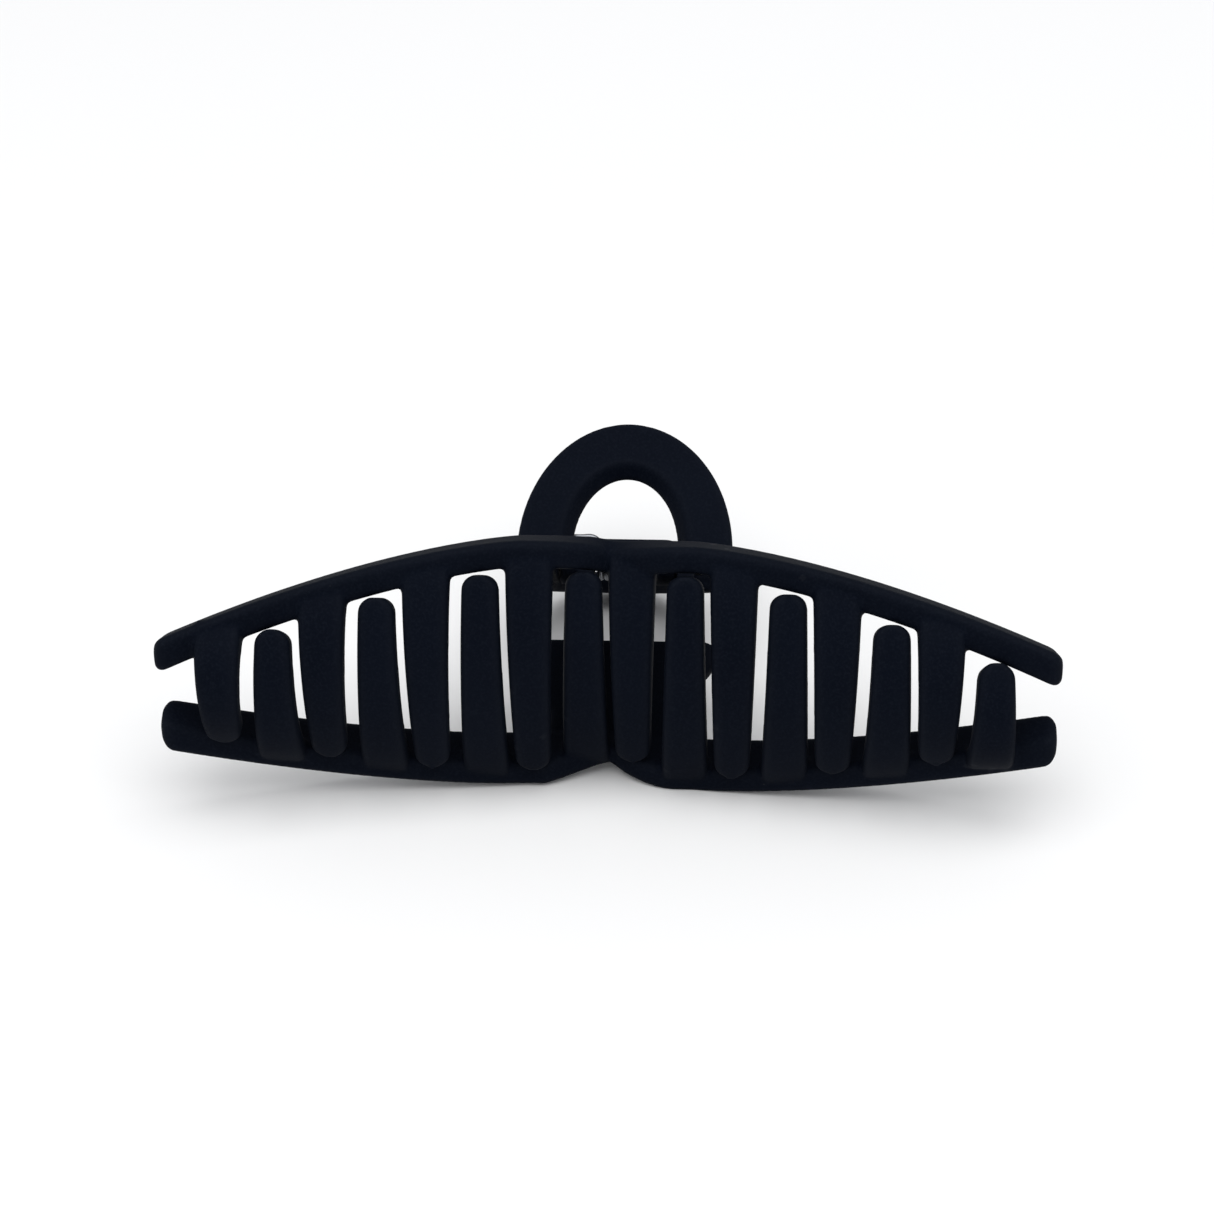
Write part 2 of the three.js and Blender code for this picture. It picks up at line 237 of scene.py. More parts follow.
# %% The rail
EDGE_RADII = (0.6, 0.5, 0.6, 0.7)        # top front, bottom front, bottom back, top back
EDGE_FULL_HEIGHT = 1.6                   # half height from which the edges have their full radius
END_ROUND_PLAN = 1.9                     # end radius seen from above
END_ROUND_SIDE = 1.5                     # end radius seen from the front
GROOVE_STEPS, WING_STEPS, END_STEPS = 41, 56, 12
WING_FIRST = 0.6                         # first station past the groove
END_TURN = (0.12, 0.995)                 # shares of the quarter circle that closes an end


def rail_section(x):
    depth, height = rail_depth(x), rail_height(x)
    front, back = rail_front(x), wing_front(x) + depth
    top, back_top = rail_top(x), wing_top(x) - depth * math.tan(RAIL_SLOPE)
    plan, side = (pulled_in(abs(x), CLIP_LENGTH / 2, r) for r in (END_ROUND_PLAN, END_ROUND_SIDE))
    corners = [(front + plan, top - side), (front + plan, top - height + side),
               (back - plan, back_top - height + side), (back - plan, back_top - side)]
    soft = min(1.0, (height / 2 - side) / EDGE_FULL_HEIGHT)
    return [(x, p[0], p[1]) for p in rounded(corners, [r * soft for r in EDGE_RADII])]


def rail_stations():
    middle = np.linspace(-GROOVE_HALF, GROOVE_HALF, GROOVE_STEPS)
    wing = np.linspace(GROOVE_HALF + WING_FIRST, CLIP_LENGTH / 2 - END_ROUND_PLAN, WING_STEPS)
    turn = np.sin(np.linspace(*END_TURN, END_STEPS) * math.pi / 2)
    right = np.concatenate([wing, CLIP_LENGTH / 2 - END_ROUND_PLAN * (1 - turn)])
    return np.concatenate([-right[::-1], middle, right])


rail = as_object(loft([rail_section(x) for x in rail_stations()]), "rail")
print("rail:", len(rail.data.vertices), "points over", CLIP_LENGTH, "mm")

# %% [markdown]
# Each jaw has eight teeth. A tooth leaves the rail, bows forward and stops just short of the other
# rail. Its middle line is a Bezier curve in the Y-Z plane. The row is shifted to one side, so the
# turned copy of the jaw puts its own teeth into the gaps.

# %% The teeth's middle lines
TOOTH_COUNT = 8
END_TO_TOOTH = 9.6                       # from the rail's end to the nearest tooth's middle
TOOTH_SHIFT = 4.0
TOOTH_PITCH = 2 * (CLIP_LENGTH / 2 - END_TO_TOOTH - TOOTH_SHIFT) / (TOOTH_COUNT - 1)
TOOTH_ROOT_IN = 1.6                      # how deep the root sits behind the rail's front
TOOTH_ROOT_DOWN = 2.0                    # and how far below its top
TOOTH_BULGE = 4.0
TOOTH_BOW = ((1.35, 0.28), (1.25, 0.75))  # the two handles, as shares of the bulge and of the drop
TIP_GAP = 0.8                            # from the tip to the other rail
TIP_FORWARD = 0.4
LINE_STEPS = 241
tooth_places = [TOOTH_PITCH * (i - (TOOTH_COUNT - 1) / 2) - TOOTH_SHIFT for i in range(TOOTH_COUNT)]


def bezier(points, t):
    a, b, c, d = points
    return a * (1 - t) ** 3 + b * 3 * t * (1 - t) ** 2 + c * 3 * t * t * (1 - t) + d * t ** 3


def tooth_line(x):
    """The middle line of the tooth at x, as points (y, z), and the distance run at each point."""
    front, top = rail_front(x), rail_top(x)
    tip = -(rail_top(-x) - rail_height(-x) - TIP_GAP)
    handles = [(front - bow * TOOTH_BULGE, top - drop * (top - tip)) for bow, drop in TOOTH_BOW]
    control = [np.array(p) for p in (
        (front + TOOTH_ROOT_IN, top - TOOTH_ROOT_DOWN), *handles, (front - TIP_FORWARD, tip))]
    line = np.array([bezier(control, t) for t in np.linspace(0, 1, LINE_STEPS)])
    run = np.concatenate([[0], np.cumsum(np.linalg.norm(np.diff(line, axis=0), axis=1))])
    return line, run


print(TOOTH_COUNT, "teeth,", f"{TOOTH_PITCH:.1f} mm apart, shifted {TOOTH_SHIFT} mm")

# %% [markdown]
# A tooth is a flat bar with rounded edges, a little narrower towards its half-round tip. A curve
# with a bevel profile could draw it, but that can't narrow the width and keep the thickness, so the
# section is lofted along the middle line, square to it at each station.

# %% The teeth
TOOTH_ROOT_WIDTH = 6.2
TOOTH_TIP_WIDTH = 4.45
TOOTH_THICKNESS = 2.4
TOOTH_FRONT_EDGE, TOOTH_BACK_EDGE = 0.55, 0.4
EDGE_FULL_HALF = 0.7                     # half width from which the edges have their full radius
BODY_STEPS, TIP_STEPS = 40, 12
TIP_TURN = 0.985                         # share of the quarter circle that closes the tip
LOOK_AHEAD = 0.2                         # distance over which the direction is taken


def tooth_width(s, body):
    radius = TOOTH_TIP_WIDTH / 2
    if s > body:
        return 2 * math.sqrt(radius ** 2 - (s - body) ** 2)
    return TOOTH_ROOT_WIDTH + (TOOTH_TIP_WIDTH - TOOTH_ROOT_WIDTH) * s / body


def tooth(x):
    line, run = tooth_line(x)

    def at(distance):
        return np.array([np.interp(distance, run, line[:, i]) for i in (0, 1)])
    body = run[-1] - TOOTH_TIP_WIDTH / 2
    tip = [body + TOOTH_TIP_WIDTH / 2 * math.sin(math.pi / 2 * k / TIP_STEPS * TIP_TURN)
           for k in range(1, TIP_STEPS + 1)]
    edges = (TOOTH_FRONT_EDGE, TOOTH_BACK_EDGE, TOOTH_BACK_EDGE, TOOTH_FRONT_EDGE)
    rings = []
    for s in [*np.linspace(0, body, BODY_STEPS), *tip]:
        y, z = at(s)
        along = at(s + LOOK_AHEAD) - at(s - LOOK_AHEAD)
        along /= np.linalg.norm(along)
        a, b = TOOTH_THICKNESS / 2, tooth_width(s, body) / 2
        soft = min(1.0, b / EDGE_FULL_HALF)
        section = rounded([(a, -b), (-a, -b), (-a, b), (a, b)], [r * soft for r in edges], 4)
        rings.append([(x + p[1], y + along[1] * p[0], z - along[0] * p[0]) for p in section])
    return as_object(loft(rings), "tooth")


teeth = [tooth(x) for x in tooth_places]
print(len(teeth), "teeth of", len(teeth[0].data.vertices), "points")

# %% [markdown]
# The web is the saddle between the rail and the hinge. Its sides run straight behind the groove and
# then flare to a straight rear edge. It could be an outline with a Solidify modifier. A loft along
# its slope gives the same thickness and also rounds the long edges.

# %% The web
WEB_THICKNESS = 2.6
WEB_EDGE_Y = -12.5
WEB_EDGE_Z = 7.6
WEB_FRONT_HALF = 9.5
WEB_REAR_HALF = 15.6
WEB_FLARE_FROM, WEB_FLARE_OVER = 0.25, 0.55     # shares of the slope
WEB_FLARE_EASE = 1.2
WEB_CORNER = 1.2
WEB_EDGE_RADIUS = 0.7
WEB_OVERLAP = 0.6                        # how far it reaches into the rail
WEB_STEPS = 40


def web():
    drop = RAIL_DEPTH * math.tan(RAIL_SLOPE)
    start = Vector((-RAIL_SETBACK + RAIL_DEPTH - WEB_OVERLAP,
                    CREST_HEIGHT - drop - RAIL_HEIGHT / 2))
    end = Vector((WEB_EDGE_Y, WEB_EDGE_Z))
    length = (end - start).length
    along = (end - start).normalized()
    up = Vector((-along.y, along.x))
    rings = []
    for t in np.linspace(0, 1, WEB_STEPS):
        s = clamped((t - WEB_FLARE_FROM) / WEB_FLARE_OVER)
        flare = s ** 2 * (1 + WEB_FLARE_EASE - WEB_FLARE_EASE * s)
        half = WEB_FRONT_HALF + (WEB_REAR_HALF - WEB_FRONT_HALF) * flare
        half -= pulled_in(t * length, length, WEB_CORNER)
        a = WEB_THICKNESS / 2
        section = rounded([(-half, -a), (half, -a), (half, a), (-half, a)],
                          [WEB_EDGE_RADIUS] * 4, 4)
        here = start.lerp(end, t)
        rings.append([(p[0], here.x + up.x * p[1], here.y + up.y * p[1]) for p in section])
    return as_object(loft(rings), "web")


saddle = web()
print("web:", len(saddle.data.vertices), "points, rear edge", 2 * WEB_REAR_HALF, "mm wide")

# %% [markdown]
# The finger loop is a D-shaped plate with an oval hole. Its rim is rounded over, and the hole
# narrows towards the inside, as it must to leave the mould. The plate and the hole are two stacks
# of outlines. A Boolean takes one from the other, which is simpler than a skin with a hole in it.

# %% The finger loop
LOOP_LENGTH = 24.8                       # from the hinge to the tip
LOOP_HALF = 17.3                         # half the width
LOOP_CENTRE = 0.7                        # where the rim's half ellipse starts
LOOP_BAND, LOOP_TIP_BAND = 7.4, 8.1      # width of the plate at the sides and tip
LOOP_THICKNESS = 3.4
LOOP_LIFT = 0.9                          # from the hinge line to the inner face
LOOP_SHIFT = 1.05                        # to the right of the clip's middle
LOOP_FOOT = 0.9                          # the feet reach forward twice this, and draw in by it
HOLE_DRAFT = 1.5                         # how much the hole narrows on each side
HOLE_BACK = 0.9                          # how far the hole sits behind the rim's centre
RIM_ROUND = 0.9
RIM_STEPS, HOLE_STEPS = 121, 96
HOLE_WALL = (                            # (growth, height): a lip, the narrowest place, the draft
    (0.6 - HOLE_DRAFT, -0.01), (0.2 - HOLE_DRAFT, 0.25), (-HOLE_DRAFT, 0.7),
    (0.1 - HOLE_DRAFT, 1.3), (-0.75, 2.1), (-0.35, 2.7), (0, 3.1), (0.5, LOOP_THICKNESS + 0.01))
HOLE_OVERRUN = 2
LONG = LOOP_LENGTH - LOOP_CENTRE
ON_LOOP = Matrix.Rotation(LOOP_TILT, 4, "X") @ Matrix.Translation((LOOP_SHIFT, 0, LOOP_LIFT))


def quarter(radius, steps=6):
    """Pairs of (inset, depth) round a quarter of a circle, from the face to the side."""
    return [(radius * (1 - math.sin(a)), radius * (1 - math.cos(a)))
            for a in np.linspace(0, math.pi / 2, steps)]


def rim(inset):
    foot = LOOP_CENTRE - 2 * LOOP_FOOT + inset
    foot_half = LOOP_HALF - LOOP_FOOT - inset
    bow = arc(LOOP_HALF - inset, LONG - inset, 0, math.pi, RIM_STEPS)
    return [(-foot_half, foot), (foot_half, foot)] + [(x, LOOP_CENTRE + y) for x, y in bow]


def hole(grow):
    across, back = LOOP_HALF - LOOP_BAND + grow, LONG - LOOP_TIP_BAND - HOLE_BACK + grow
    return [(x, LOOP_CENTRE + HOLE_BACK + y) for x, y in ring(across, back, HOLE_STEPS)]


def stack(levels, name):
    """A solid from outlines given with their heights, placed on the loop's tilted plane."""
    mesh = loft([[(x, y, height) for x, y in outline] for outline, height in levels])
    mesh.transform(ON_LOOP)
    return as_object(mesh, name)


def cut(body, *tools):
    for tool in tools:
        applied(body, "BOOLEAN", object=tool, operation="DIFFERENCE", solver="EXACT")
        bpy.data.objects.remove(tool)
    return body


edge = quarter(RIM_ROUND)
sides = [(rim(inset), depth) for inset, depth in edge] + [
    (rim(inset), LOOP_THICKNESS - depth) for inset, depth in reversed(edge)]
wall = [(hole(grow), height) for grow, height in HOLE_WALL]
through = [(wall[0][0], -HOLE_OVERRUN), *wall, (wall[-1][0], LOOP_THICKNESS + HOLE_OVERRUN)]
loop_plate = cut(stack(sides, "finger_loop"), stack(through, "finger_hole"))
print("finger loop:", len(loop_plate.data.vertices), "points")

# %% [markdown]
# Two lugs of each jaw carry the pin: an inner one with a long round boss on the right, an outer one
# on the left. The turned copy puts its lugs beside them, with a small gap. The places come from the
# coil outwards, so a thicker wire would move the lugs and nothing would collide.

# %% Where the lugs stand
PIN_DIAMETER = 1.8
PIN_HEAD_DIAMETER = 3.0
PIN_HEAD_LENGTH = 0.8
LUG_WIDTH = 2.7
LUG_BOSS = 5.4                           # length of the inner lug's round boss
FIT = 0.3                                # gap between moving pieces
WIRE = 0.9
COIL_TURNS = 6
COIL_GAP = 0.12                          # gap between turns
coil_half = COIL_TURNS * (WIRE + COIL_GAP) / 2
inner_lug = coil_half + WIRE / 2 + FIT
boss_end = inner_lug + LUG_BOSS
outer_lug = boss_end + FIT
lug_reach = outer_lug + LUG_WIDTH
print(f"lugs stand {inner_lug:.2f} and {outer_lug:.2f} mm out, and reach {lug_reach:.2f} mm")

# %% [markdown]
# A lug is a plate that fills the corner between the web's rear edge, the pin and the loop. It is
# extruded from its outline, and its bore is cut with a Boolean. The loop is cut back where the
# other jaw's lugs turn, because the two move through each other's space.

# %% Lugs, bores and clearances
LUG_RADIUS = 3.3
LUG_ARC_FROM = math.radians(248)
LUG_ARC_STEPS = 24
LUG_ROOT = ((-1, 0.75), (0.6, -0.6))     # mm behind the web's edge, share of the web's thickness
LUG_HEEL = 2.4                           # how far a lug reaches along the loop
LUG_HEEL_LIFT = 0.6
LUG_SINK = 0.4                           # and how far it stays below the outer face
BORE_CORNERS = 48
BORE_OVERRUN = 1


def on_loop_side(along, above):
    c, s = math.cos(LOOP_TILT), math.sin(LOOP_TILT)
    return along * c - above * s, along * s + above * c


def extruded(outline, x0, x1, name):
    return as_object(loft([[(x, y, z) for y, z in outline] for x in (x0, x1)]), name)


def bar(radius, x0, x1):
    return extruded(ring(radius, radius, BORE_CORNERS), x0, x1, "bar")


def pin_bores():
    head_end = lug_reach + 2 * FIT + PIN_HEAD_LENGTH
    head = PIN_HEAD_DIAMETER / 2 + FIT
    shank_end = lug_reach + BORE_OVERRUN
    return [bar(PIN_DIAMETER / 2 + FIT, -shank_end, shank_end),
            bar(head, -head_end, -lug_reach), bar(head, lug_reach, head_end)]


sunk = LOOP_LIFT + LOOP_THICKNESS - LUG_SINK
lug_outline = [
    *((WEB_EDGE_Y + back, WEB_EDGE_Z + share * WEB_THICKNESS) for back, share in LUG_ROOT),
    *arc(LUG_RADIUS, LUG_RADIUS, LUG_ARC_FROM, 2 * math.pi, LUG_ARC_STEPS),
    on_loop_side(LUG_HEEL, LOOP_LIFT + LUG_HEEL_LIFT), on_loop_side(LUG_HEEL, sunk),
    on_loop_side(0, sunk)]
lugs = [cut(piece, *pin_bores()) for piece in (
    extruded(lug_outline, -lug_reach, -outer_lug, "outer_lug"),
    extruded(lug_outline, inner_lug, inner_lug + LUG_WIDTH, "inner_lug"),
    bar(LUG_RADIUS, inner_lug, boss_end))]
cut(loop_plate, bar(LUG_RADIUS + FIT, -outer_lug, inner_lug),
    bar(LUG_RADIUS + FIT, boss_end, lug_reach + FIT), *pin_bores())
print("lug pieces:", [len(piece.data.vertices) for piece in lugs], "points")

# %% [markdown]
# The pieces of one jaw overlap, as lumps of clay would. A Boolean union would leave hard seams. A
# voxel remesh melts them into one skin instead, and a few rounds of smoothing wash out the voxels
# and leave the small fillets that a mould leaves in every corner. Both jaws come from the same
# mould, so the lower one is a turned copy.

# %% One jaw from its pieces
VOXEL = 0.34                             # size of one cell
SMOOTHING = 7                            # rounds


def joined(pieces, name):
    mesh = bmesh.new()
    for piece in pieces:
        mesh.from_mesh(piece.data)
        bpy.data.objects.remove(piece)
    return as_object(mesh, name)


upper = joined([rail, saddle, loop_plate, *teeth, *lugs], "upper_jaw_moulding")
applied(upper, "REMESH", mode="VOXEL", voxel_size=VOXEL, adaptivity=0.0)
applied(upper, "SMOOTH", factor=0.5, iterations=SMOOTHING)
lower = placed("lower_jaw_moulding", upper.data.copy())
upper.data.transform(CLIP_TO_FLOOR)
lower.data.transform(CLIP_TO_FLOOR @ HALF_TURN)
for jaw in (upper, lower):
    jaw.data.shade_smooth()
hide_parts("upper_jaw")
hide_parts("lower_jaw")
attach(upper, "upper_jaw_body")
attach(lower, "lower_jaw_body")
print("each jaw:", len(upper.data.polygons), "faces")

# %% [markdown]
# The pin is a piece of drawn wire with both ends peened over into low domes. Three cylinders could
# stand for it, but a turned profile, lofted round the hinge axis, also has the small rounding
# under each head.

# %% The hinge pin
HEAD_RIM = 0.25                          # straight part of the head before its dome
HEAD_EDGE = 0.1
SHANK_FILLET = 0.12
DOME_TURN, DOME_STEPS = 0.97, 8
PIN_CORNERS = 48


def hinge_pin():
    end = lug_reach + FIT
    shank, head = PIN_DIAMETER / 2, PIN_HEAD_DIAMETER / 2
    dome = [(end + HEAD_RIM + (PIN_HEAD_LENGTH - HEAD_RIM) * math.sin(a), head * math.cos(a))
            for a in np.linspace(0, math.pi / 2 * DOME_TURN, DOME_STEPS)]
    right = [(0.0, shank), (end - SHANK_FILLET, shank), (end, shank + SHANK_FILLET),
             (end, head - HEAD_EDGE), *dome]
    profile = [(-x, r) for x, r in reversed(right[1:])] + right
    rings = [[(x, y, z) for y, z in ring(r, r, PIN_CORNERS)] for x, r in profile]
    wire_pin = as_object(loft(rings), "hinge_pin_wire")
    wire_pin.data.transform(CLIP_TO_FLOOR)
    wire_pin.data.shade_smooth()
    return wire_pin


pin = hinge_pin()
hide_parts("hinge_pin")
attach(pin, "lower_jaw_body")
print("pin:", len(pin.data.vertices), "points")

# %% [markdown]
# The spring is one steel wire: six turns round the pin and a straight leg under each loop. A Screw
# modifier makes a coil but not its legs, so the whole path is worked out as points, and a Bezier
# curve with a round bevel follows them.

# %% The torsion spring's path
COIL_RADIUS = 2.2                        # to the middle of the wire
COIL_STEPS = 36 * COIL_TURNS
SPRING_LEG = 5.0                         # from the pin to the straight bar of a leg
SPRING_BAR_X = 11.5                      # where the bar ends
LEG_BEND = 1.2                           # size of the bend between the coil and a leg
LEG_STRAIGHT = 3.0                       # where a leg starts to run straight
LEG_START = LOOP_TILT + math.pi / 2      # angle at which the wire leaves the coil


def leg(side, distance, x):
    """A point of one leg, in the plane just under its loop."""
    under = LOOP_LIFT - FIT - WIRE / 2
    y, z = on_loop_side(distance, under)
    return Vector((side * x, y, -side * z))


def leg_points(side):
    """From the coil to the far end of a leg."""
    return [leg(side, SPRING_LEG - LEG_BEND, coil_half),
            leg(side, SPRING_LEG, coil_half + LEG_BEND),
            leg(side, SPRING_LEG, coil_half + LEG_STRAIGHT),
            leg(side, SPRING_LEG, SPRING_BAR_X)]


def coil_point(share):
    angle = LEG_START + (2 * math.pi * (COIL_TURNS + 1) - 2 * LEG_START) * share
    return Vector((coil_half * (2 * share - 1), COIL_RADIUS * math.cos(angle),
                   COIL_RADIUS * math.sin(angle)))


coil = [coil_point(k / COIL_STEPS) for k in range(COIL_STEPS + 1)]
spring_path = [*reversed(leg_points(-1)), *coil, *leg_points(1)]
print("spring path:", len(spring_path), "points,", COIL_TURNS, "turns")

# %% [markdown]
# When the clip opens, one leg would follow the upper jaw and the other the lower one. Riding on
# one body would tear the spring from a jaw, so it is attached to neither: its place is baked into
# its mesh, and it stays where it is drawn.

# %% The torsion spring
WIRE_ROUNDNESS = 5
WIRE_SMOOTHNESS = 4


def wire(points, radius, name):
    """A smooth round wire through the points."""
    curve = bpy.data.curves.new(name, "CURVE")
    curve.dimensions = "3D"
    curve.bevel_depth = radius
    curve.bevel_resolution = WIRE_ROUNDNESS
    curve.use_fill_caps = True
    curve.resolution_u = WIRE_SMOOTHNESS
    line = curve.splines.new("BEZIER")
    line.bezier_points.add(len(points) - 1)
    for knot, p in zip(line.bezier_points, points):
        knot.co = p
        knot.handle_left_type = knot.handle_right_type = "AUTO"
    drawn = placed(name + "_line", curve)
    evaluated = drawn.evaluated_get(bpy.context.evaluated_depsgraph_get())
    mesh = bpy.data.meshes.new_from_object(evaluated)
    bpy.data.objects.remove(drawn)
    return placed(name, mesh)


spring = wire(spring_path, WIRE / 2, "torsion_spring_wire")
spring.data.transform(CLIP_TO_FLOOR)
spring.data.shade_smooth()
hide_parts("torsion_spring")
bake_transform(spring)
print("spring:", len(spring.data.vertices), "points")

# %% [markdown]
# Materials are node graphs. Drawn by hand in the editor they are hard to repeat, so two small
# helpers write them as text: `Value` wraps a socket so that sums can be written as Python
# expressions, and `Graph.add` makes any node in one call.

# %% Writing shader nodes as Python
class Value:
    """A number that varies over the surface: + - and * on it add Math nodes."""

    def __init__(self, graph, socket):
        self.graph, self.socket = graph, socket

    def _maths(self, operation, first, second):
        return self.graph.add("ShaderNodeMath", {"operation": operation}, {0: first, 1: second})

    def __add__(self, other): return self._maths("ADD", self, other)
    def __radd__(self, other): return self._maths("ADD", other, self)
    def __sub__(self, other): return self._maths("SUBTRACT", self, other)
    def __rsub__(self, other): return self._maths("SUBTRACT", other, self)
    def __mul__(self, other): return self._maths("MULTIPLY", self, other)
    def __rmul__(self, other): return self._maths("MULTIPLY", other, self)


class Graph:
    """One material and its nodes."""

    def __init__(self, name):
        self.material = bpy.data.materials.new(name)
        self.material.use_nodes = True
        self.tree = self.material.node_tree
        self.shader = self.tree.nodes["Principled BSDF"]
        self.place = self.add("ShaderNodeTexCoord", {}, {}, "Object")

    def add(self, kind, settings, inputs, output=0):
        """Makes a node, sets its settings, then its sockets, and returns one output."""
        node = self.tree.nodes.new(kind)
        for key, value in settings.items():
            if key == "stops":
                self._stops(node.color_ramp, value)
            else:
                setattr(node, key, value)
        for key, value in inputs.items():
            self.feed(node, key, value)
        return Value(self, node.outputs[output])

    def _stops(self, ramp, stops):
        while len(ramp.elements) < len(stops):
            ramp.elements.new(0.5)
        for element, (position, shade) in zip(ramp.elements, stops):
            element.position = position
            element.color = (shade, shade, shade, 1)

    def feed(self, node, key, value):
        if isinstance(value, Value):
            self.tree.links.new(value.socket, node.inputs[key])
        else:
            node.inputs[key].default_value = value

    def set(self, **sockets):
        """Sets or links the surface's own sockets, named with _ for a space."""
        for key, value in sockets.items():
            self.feed(self.shader, key.replace("_", " "), value)

    def noise(self, scale, detail=2.0, roughness=0.5, place=None):
        return self.add("ShaderNodeTexNoise", {}, {
            "Vector": place or self.place, "Scale": scale,
            "Detail": detail, "Roughness": roughness})

    def ramp(self, value, *stops):
        return self.add("ShaderNodeValToRGB", {"stops": stops}, {"Fac": value})

    def blend(self, share, first, second):
        """A colour between two colours, each a Value or a red, green and blue."""
        first, second = (c if isinstance(c, Value) else (*c, 1) for c in (first, second))
        return self.add("ShaderNodeMix", {"data_type": "RGBA"}, {0: share, 6: first, 7: second}, 2)

    def bump(self, height, strength, distance):
        return self.add("ShaderNodeBump", {},
                        {"Strength": strength, "Distance": distance, "Height": height})


print("graph helpers ready")

# %% [markdown]
# The clip is moulded in black with a soft, rubbery finish: almost no gloss, a faint blue cast, a
# fine grain and the odd speck of dust. One flat black would look cut out of paper, so the colour is
# built up in layers: two blacks in slow clouds, then the grain, a painted highlight on the convex
# edges, and the dust. A low specular level takes the shine off and leaves the shape to the light.

# %% Soft matt black
DEEP_BLACK, BLUE_BLACK = (0.0014, 0.0026, 0.0064), (0.0020, 0.0035, 0.0079)
GRAIN_TINT, GRAIN_SHARE = (0.0060, 0.0082, 0.0140), 0.5
# painted highlight: a paler tint laid on the convex edges, where light catches them
EDGE_HIGHLIGHT_TINT, EDGE_HIGHLIGHT_SHARE = (0.011, 0.013, 0.018), 0.35
DUST_TINT, DUST_SHARE = (0.08, 0.085, 0.09), 0.25
CLOUD_SCALE, GRAIN_SCALE, FINE_SCALE, DUST_SCALE = 60, 2600, 7000, 150.0     # per metre
MATT, GRAIN_ROUGHER, EDGE_SMOOTHER = 0.60, 0.16, 0.08
MATT_SPECULAR = 0.035


def soft_black():
    g = Graph("soft_matt_black")
    cloud = g.ramp(g.noise(CLOUD_SCALE, 3.0), (0.35, 0.0), (0.7, 1.0))
    grain = g.noise(GRAIN_SCALE, 2.0, 0.6)
    fine = g.noise(FINE_SCALE, 1.0)
    pointed = g.add("ShaderNodeNewGeometry", {}, {}, "Pointiness")
    # painted highlight on the convex edges, found by their pointiness; the same mask makes them a
    # little smoother
    highlit_edges = g.ramp(pointed, (0.5, 0.0), (0.56, 1.0))
    speck = g.add("ShaderNodeTexVoronoi", {}, {"Vector": g.place, "Scale": DUST_SCALE}, "Distance")
    dust = g.ramp(speck, (0.0, 1.0), (0.03, 0.0))
    grainy = g.ramp(grain, (0.45, 0.0), (0.7, 1.0))
    colour = g.blend(cloud, DEEP_BLACK, BLUE_BLACK)
    colour = g.blend(grainy * GRAIN_SHARE, colour, GRAIN_TINT)
    colour = g.blend(highlit_edges * EDGE_HIGHLIGHT_SHARE, colour, EDGE_HIGHLIGHT_TINT)
    colour = g.blend(dust * DUST_SHARE, colour, DUST_TINT)
    g.set(Base_Color=colour, Roughness=MATT + grain * GRAIN_ROUGHER - highlit_edges * EDGE_SMOOTHER)
    g.set(Normal=g.bump(grain + fine * 0.5, 0.35, 0.00006), Specular_IOR_Level=MATT_SPECULAR)
    return g.material


black = soft_black()
for jaw in (upper, lower):
    jaw.data.materials.clear()
    jaw.data.materials.append(black)
print("material:", black.name)

# %% [markdown]
# Pin and spring are steel wire. Drawing leaves fine lines along the wire; the spring is darker
# because it is oiled after it is hardened. A noise that is stretched along X gives the lines. An
# image texture would need unwrapping first.

# %% Steel wires
PIN_GREYS = (0.30, 0.31, 0.33), (0.46, 0.47, 0.49)
SPRING_GREYS = (0.16, 0.165, 0.18), (0.30, 0.31, 0.33)
LINE_STRETCH = (150.0, 6000.0, 6000.0)
LINE_ROUGHER = 0.18


def steel(name, dark, light, roughness):
    g = Graph(name)
    stretched = g.add("ShaderNodeMapping", {}, {"Vector": g.place, "Scale": LINE_STRETCH})
    lines = g.noise(1.0, place=stretched)
    g.set(Base_Color=g.blend(g.noise(420, 3.0), dark, light))
    g.set(Metallic=1.0, Roughness=roughness + lines * LINE_ROUGHER)
    g.set(Normal=g.bump(lines, 0.2, 0.00003))
    return g.material


pin.data.materials.append(steel("drawn_pin_steel", *PIN_GREYS, 0.28))
spring.data.materials.append(steel("oiled_spring_steel", *SPRING_GREYS, 0.24))
print("steel on the pin and the spring")

# %% [markdown]
# The clip lies on plain white paper. A curved backdrop would hide the horizon, but the camera looks
# down, so a large flat sheet is enough. Its white varies by a hair, as paper does.

# %% Floor
FLOOR_HALF = 3.0
PAPER_WHITES = (0.86, 0.86, 0.86), (0.88, 0.88, 0.88)


def floor():
    mesh = bmesh.new()
    bmesh.ops.create_grid(mesh, x_segments=1, y_segments=1, size=FLOOR_HALF)
    sheet = as_object(mesh, "floor")
    g = Graph("white_paper")
    g.set(Base_Color=g.blend(g.noise(3.0), *PAPER_WHITES), Roughness=0.9)
    sheet.data.materials.append(g.material)
    return sheet


ground = floor()
print("floor:", ground.dimensions[:2])

# %% [markdown]
# A black object on white needs broad light: a lamp would burn out the paper before it showed the
# plastic. An even white sky fills the shadows, a large soft box above and in front lights the top
# faces, and a weak one at the left keeps the ends of the rails from sinking into black.

# %% Light
SKY_TINT, SKY_STRENGTH = (0.97, 0.98, 1.0, 1), 0.55
LIT_PLACE = (0, 0, 0.02)


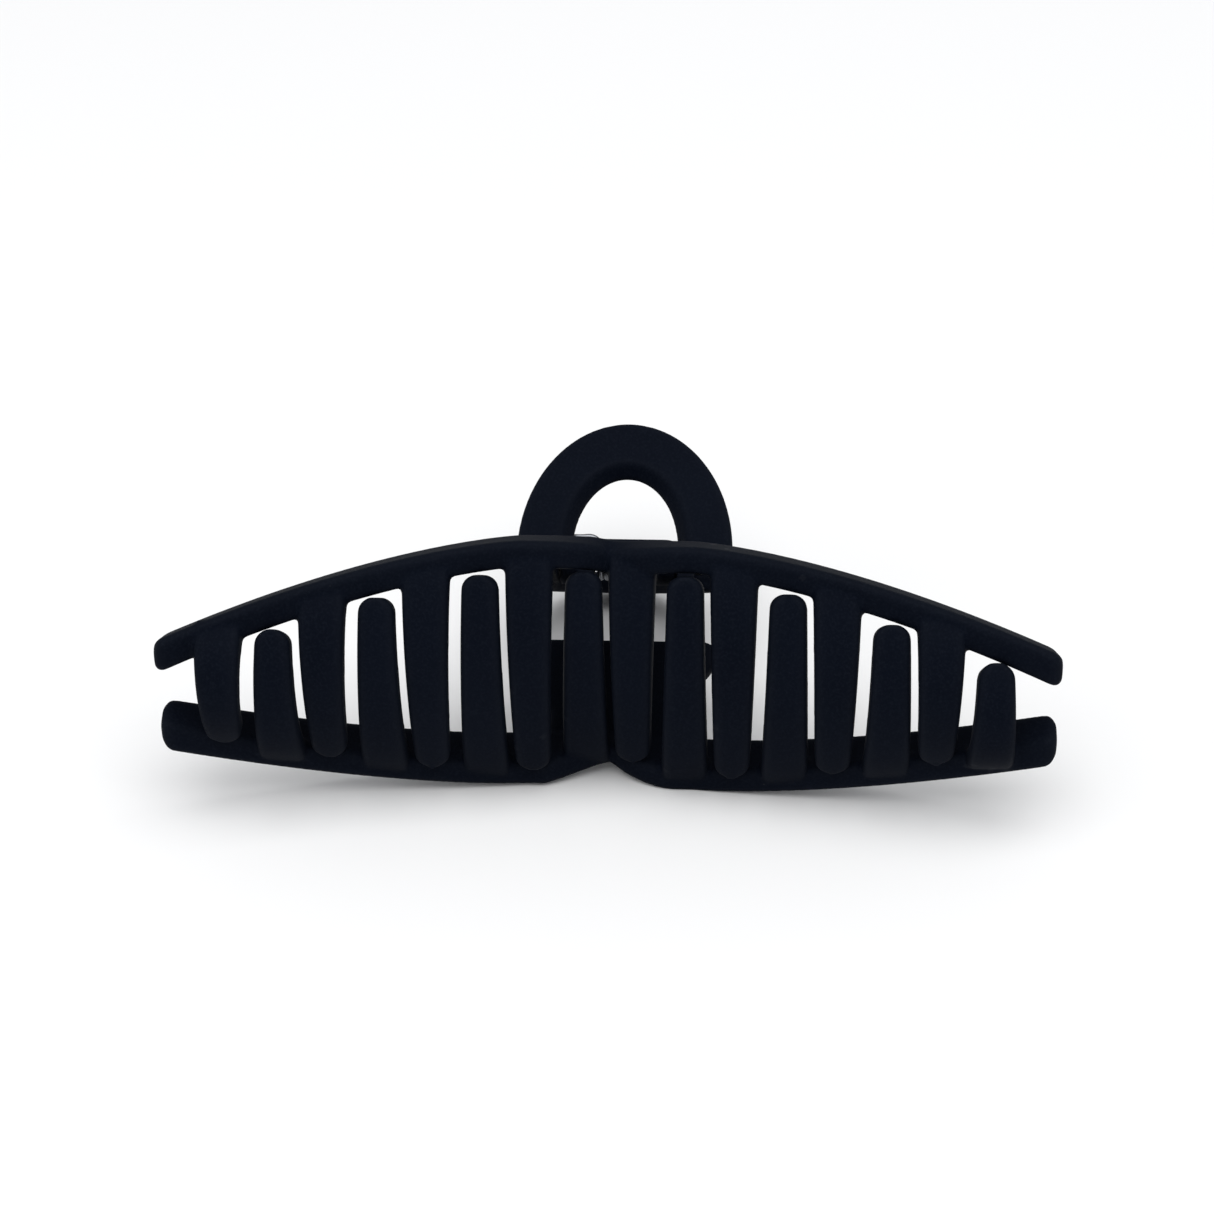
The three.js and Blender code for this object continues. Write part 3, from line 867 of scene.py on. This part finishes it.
def soft_box(name, place, size, power):
    lamp = bpy.data.lights.new(name, "AREA")
    lamp.shape, lamp.size, lamp.size_y = "RECTANGLE", *size
    lamp.energy = power
    obj = placed(name, lamp)
    obj.location = place
    aim = Vector(LIT_PLACE) - Vector(place)
    obj.rotation_euler = aim.to_track_quat("-Z", "Y").to_euler()
    return obj


def sky():
    world = bpy.data.worlds.new("even_sky")
    world.use_nodes = True
    background = world.node_tree.nodes["Background"]
    background.inputs["Color"].default_value = SKY_TINT
    background.inputs["Strength"].default_value = SKY_STRENGTH
    bpy.context.scene.world = world


sky()
boxes = [soft_box("key_light", (0.10, -0.40, 1.60), (2.0, 1.6), 25.0),
         soft_box("left_fill", (-0.9, -0.3, 0.5), (0.5, 0.5), 0.8)]
bpy.context.scene.view_settings.view_transform = "Standard"
print("sky and soft boxes:", [(box.name, round(box.data.energy, 2)) for box in boxes], "W")

# %% [markdown]
# The camera looks down on the teeth at about 35 degrees with a long lens, which keeps the near
# teeth and the far loop at nearly the same scale. Its place and turn are given in the clip's own
# frame, so they hold however far the clip leans, and the same lean carries them to the floor.

# %% Camera
CAMERA_PLACE = Vector((19.83, -396.52, 216.07))
CAMERA_DOWN, CAMERA_ROLL, CAMERA_HEADING = (math.radians(a) for a in (29.425, -0.641, 3.14))
LENS, SENSOR = 83.21, 36.0


def camera():
    view = bpy.data.cameras.new("camera")
    view.lens, view.sensor_width = LENS, SENSOR
    view.clip_start, view.clip_end = 0.01, 20.0
    obj = placed("camera", view)
    turn = (Matrix.Rotation(-LEAN, 4, "X") @ Matrix.Rotation(CAMERA_HEADING, 4, "Z")
            @ Matrix.Rotation(math.pi / 2 - CAMERA_DOWN, 4, "X")
            @ Matrix.Rotation(CAMERA_ROLL, 4, "Z"))
    obj.matrix_world = Matrix.Translation(CLIP_TO_FLOOR @ CAMERA_PLACE) @ turn
    bpy.context.scene.camera = obj
    return obj


viewpoint = camera()
print(f"camera {viewpoint.location.length:.3f} m from the middle of the floor, {LENS} mm lens")
